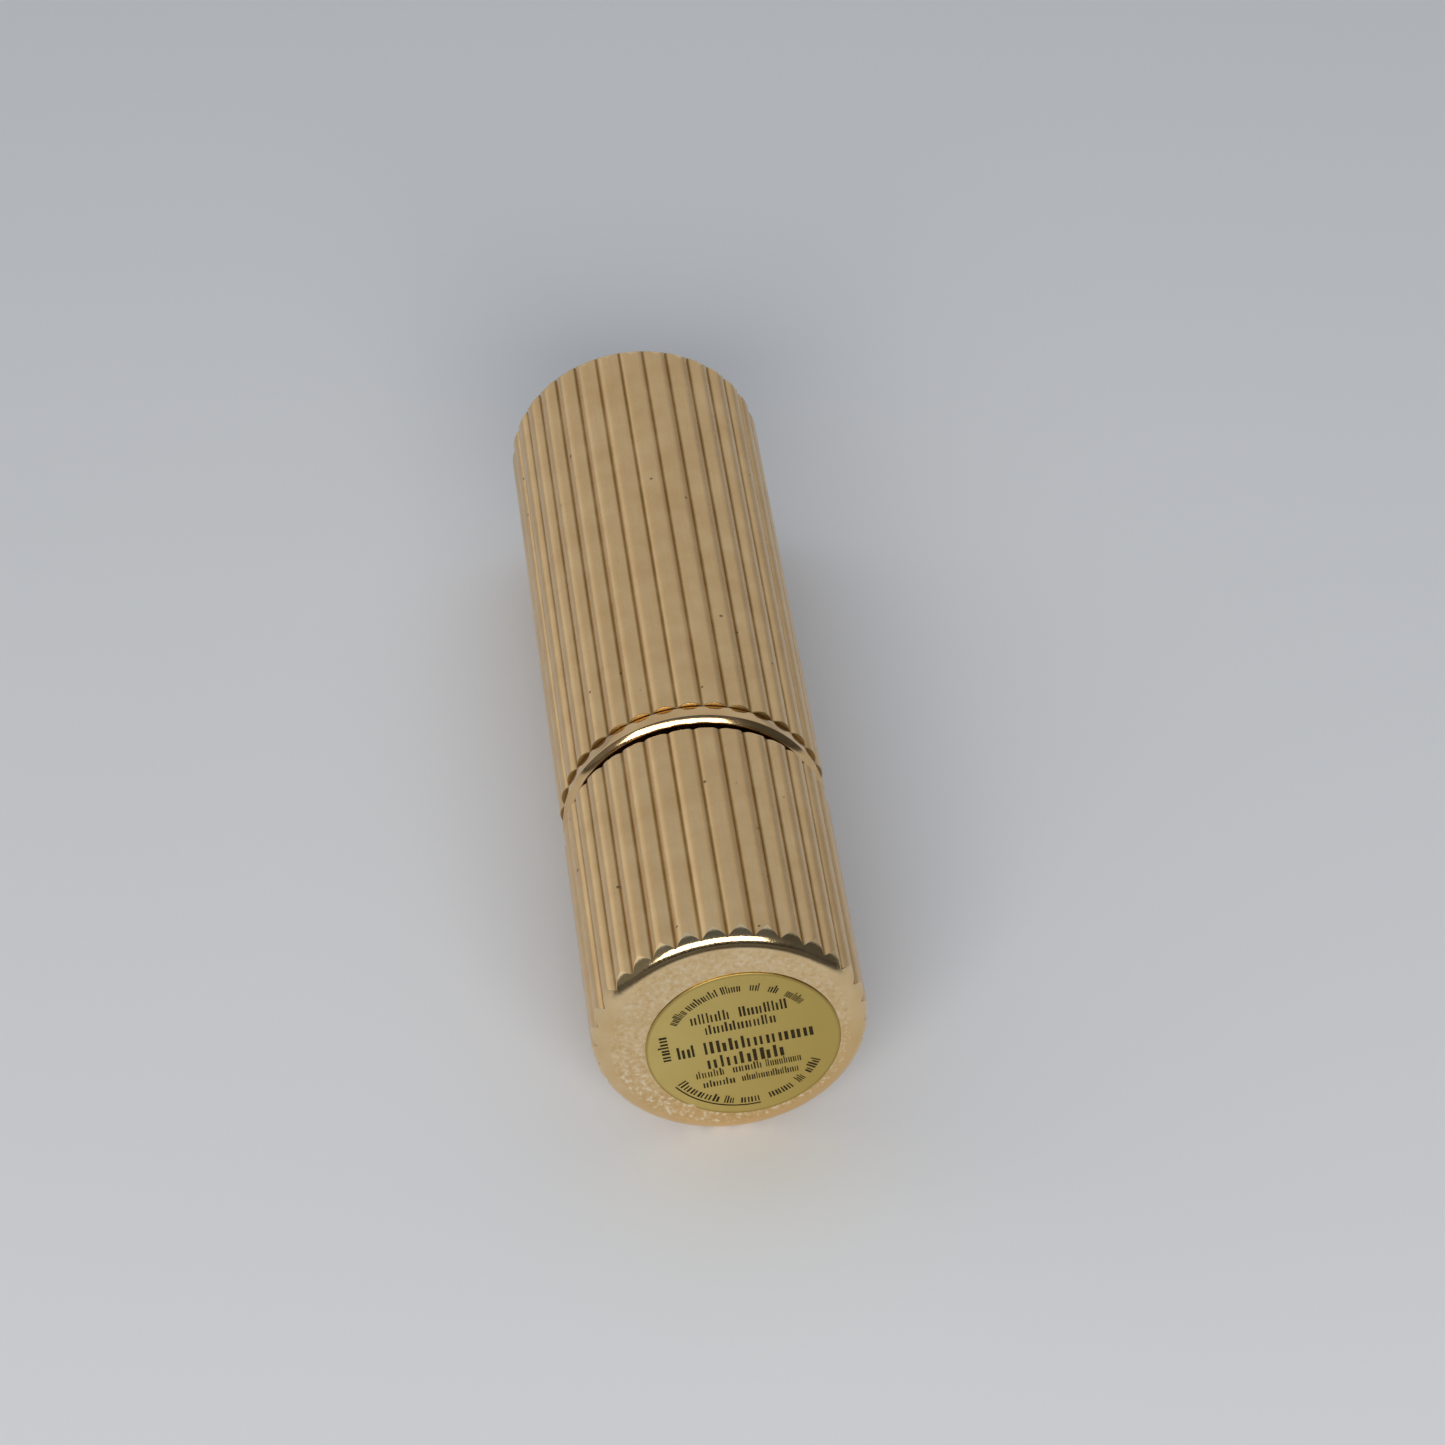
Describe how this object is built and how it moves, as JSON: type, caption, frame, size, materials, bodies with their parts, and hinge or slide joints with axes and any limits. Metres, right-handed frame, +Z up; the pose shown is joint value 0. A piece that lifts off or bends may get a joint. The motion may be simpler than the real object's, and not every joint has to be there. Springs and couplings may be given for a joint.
{
  "type": "lipstick case",
  "caption": "Ribbed gold metal swivel lipstick lying on its side, with a pull-off cap, beaded cap mouth and a round label on its base.",
  "frame": {"origin": "on the floor under the middle of the case, at the centre of the bottom of its bounding box", "axes": "+Y along the case's axis from the labelled base face to the cap's end, +Z up, so the case lies on its side"},
  "size_m": [0.019, 0.065, 0.019],
  "materials": {
    "gold_metal": "satin",
    "bright_gold_metal": "polished",
    "label_film": "gloss",
    "white_plastic": "gloss",
    "ivory_plastic": "gloss",
    "black_rubber": "matte",
    "steel": "satin",
    "lipstick_wax": "satin"
  },
  "bodies": {
    "base": {"base_shell": "gold_metal", "base_liner": "white_plastic", "base_weight": "steel", "shade_label": "label_film", "fork_tube": "white_plastic", "drag_ring": "black_rubber", "retaining_ring": "steel"},
    "sleeve": {"sleeve_shell": "bright_gold_metal", "spiral_tube": "ivory_plastic"},
    "carrier": {"carrier_cup": "ivory_plastic", "lipstick_bullet": "lipstick_wax"},
    "cap": {"cap_shell": "gold_metal", "cap_mouth_ring": "bright_gold_metal", "cap_liner": "white_plastic"}
  },
  "joints": [
    {"name": "twist", "type": "hinge", "parent": "base", "child": "sleeve", "pos_m": [0, 0, 0.0095], "axis": [0, -1, 0], "range_deg": [0, 540]},
    {"name": "lift", "type": "slide", "parent": "base", "child": "carrier", "axis": [0, 1, 0], "range_m": [0, 0.021]},
    {"name": "cap_pull", "type": "slide", "parent": "sleeve", "child": "cap", "axis": [0, 1, 0], "range_m": [0, 0.06]}
  ],
  "couplings": [
    {"joint": "twist", "follows": "lift", "rad_per_m": 448.7}
  ]
}
